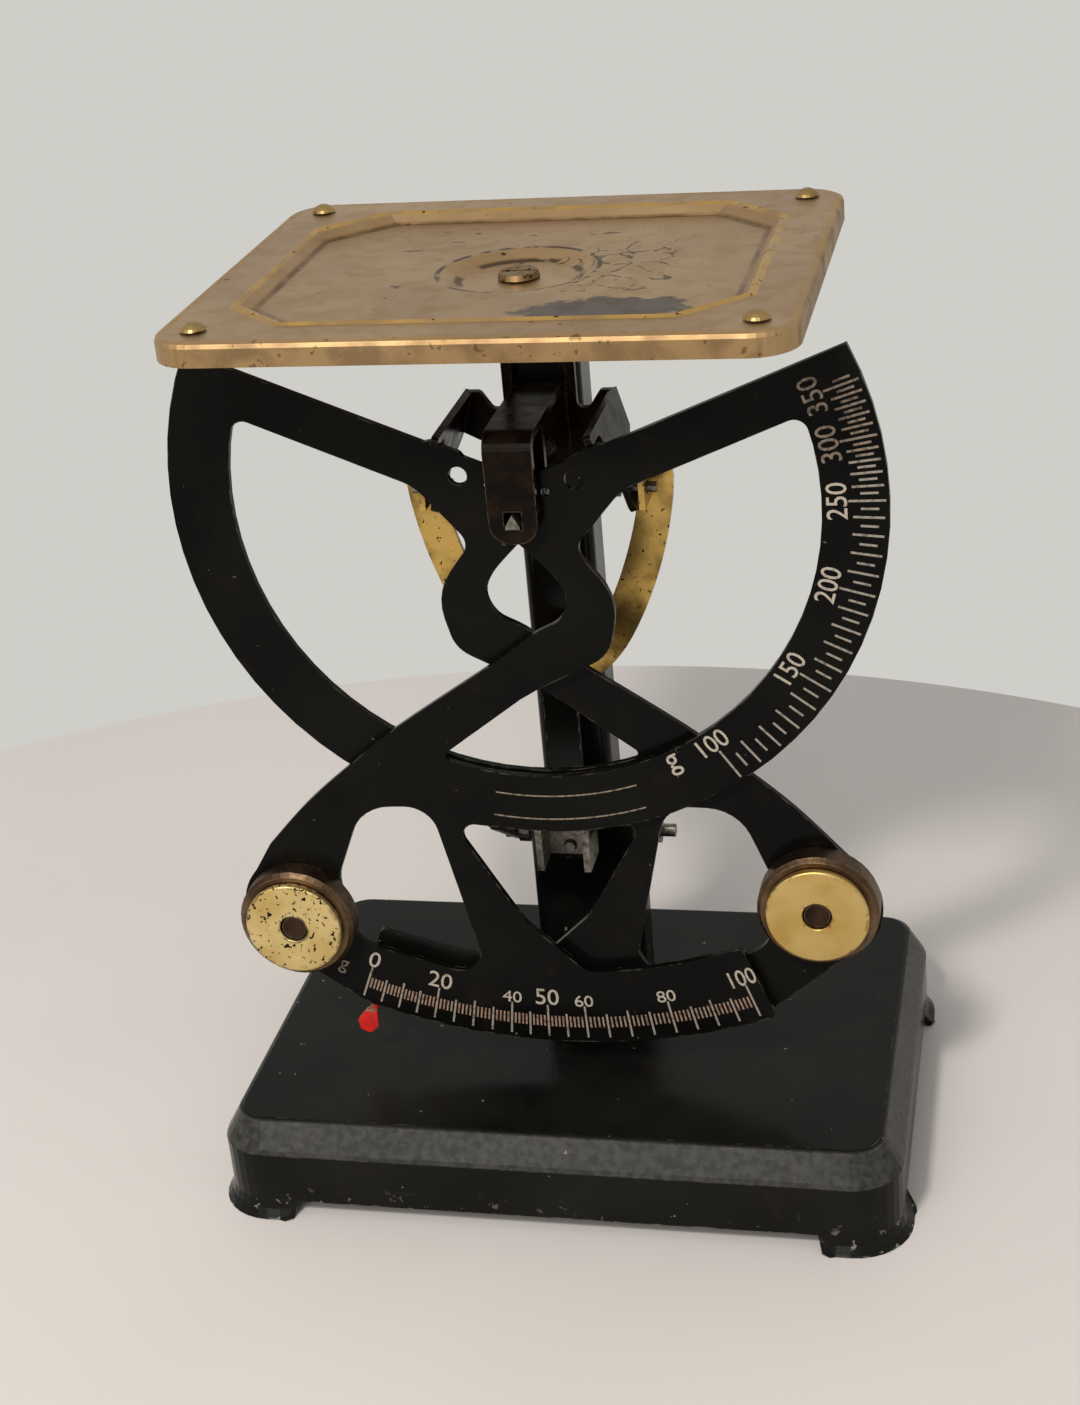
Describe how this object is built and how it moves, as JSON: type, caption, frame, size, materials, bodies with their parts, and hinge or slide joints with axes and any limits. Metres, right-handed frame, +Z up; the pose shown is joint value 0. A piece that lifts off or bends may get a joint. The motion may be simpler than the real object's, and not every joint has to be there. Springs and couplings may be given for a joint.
{
  "type": "two-pendulum letter balance",
  "caption": "Antique bench letter balance: two mirrored pendulum plates with counterweights swing as a brass pan on a guided carrier presses them down.",
  "frame": {"origin": "middle of the base's footprint, on the surface that the balance stands on", "axes": "+Z up, +X to the right and +Y to the back when the scale plates are seen from the front"},
  "size_m": [0.1242, 0.0856, 0.163],
  "materials": {
    "black_enamel": "black japanned enamel over sheet steel, worn at the edges",
    "browned_steel": "dark brown patinated steel",
    "plain_steel": "dull bare steel",
    "aged_brass": "aged brass with brown patina",
    "red_lacquer": "red lacquer on sheet steel"
  },
  "bodies": {
    "stand": {"base_shell": "black_enamel", "pillar": "black_enamel", "pillar_screw_left": "plain_steel", "pillar_screw_right": "plain_steel", "pillar_nut_left": "plain_steel", "pillar_nut_right": "plain_steel", "bearing_strap": "browned_steel", "strap_rivet_lower": "browned_steel", "strap_rivet_upper": "browned_steel", "knife_edge": "plain_steel", "front_washer": "plain_steel", "middle_washer": "plain_steel", "rear_washer": "plain_steel", "lever_pivot_pin": "plain_steel", "lever_washer_left": "plain_steel", "lever_washer_right": "plain_steel"},
    "front_pendulum": {"front_plate": "black_enamel", "front_weight_drum": "browned_steel", "front_weight_disc": "aged_brass", "front_weight_backing": "browned_steel", "front_weight_bolt": "browned_steel"},
    "rear_pendulum": {"rear_plate": "black_enamel", "rear_weight_drum": "browned_steel", "rear_weight_disc": "aged_brass", "rear_weight_backing": "browned_steel", "rear_weight_bolt": "browned_steel", "zero_pointer": "red_lacquer", "pointer_rivet_upper": "browned_steel", "pointer_rivet_lower": "browned_steel"},
    "pan_carrier": {"pan_tray": "aged_brass", "pan_stud_front_left": "aged_brass", "pan_stud_back_left": "aged_brass", "pan_stud_front_right": "aged_brass", "pan_stud_back_right": "aged_brass", "pan_screw": "aged_brass", "pan_nut": "plain_steel", "pan_yoke": "browned_steel", "guide_bow": "aged_brass", "bow_pin_left": "plain_steel", "bow_pin_right": "plain_steel", "guide_strip": "black_enamel", "guide_foot": "plain_steel", "foot_rivet_lower": "plain_steel", "foot_rivet_upper": "plain_steel", "guide_rivet_lower": "plain_steel", "guide_rivet_upper": "plain_steel"},
    "guide_lever": {"lever_cheek_left": "plain_steel", "lever_cheek_right": "plain_steel", "lever_front_pin": "plain_steel"}
  },
  "joints": [
    {"name": "front_swing", "type": "hinge", "parent": "stand", "child": "front_pendulum", "pos_m": [0, -0.0175, 0.126], "axis": [0, 1, 0], "range_deg": [0, 58.5]},
    {"name": "rear_swing", "type": "hinge", "parent": "stand", "child": "rear_pendulum", "pos_m": [0, -0.0152, 0.126], "axis": [0, -1, 0], "range_deg": [0, 58.5]},
    {"name": "pan_travel", "type": "slide", "parent": "stand", "child": "pan_carrier", "axis": [0, 0, -1], "range_m": [0, 0.01325]},
    {"name": "lever_swing", "type": "hinge", "parent": "stand", "child": "guide_lever", "pos_m": [0, 0.0118, 0.051], "axis": [1, 0, 0], "range_deg": [0, 46.8]}
  ],
  "couplings": [
    {"joint": "rear_swing", "follows": "front_swing", "ratio": 1},
    {"joint": "pan_travel", "follows": "front_swing", "m_per_rad": 0.01297},
    {"joint": "lever_swing", "follows": "front_swing", "ratio": 0.7985}
  ]
}
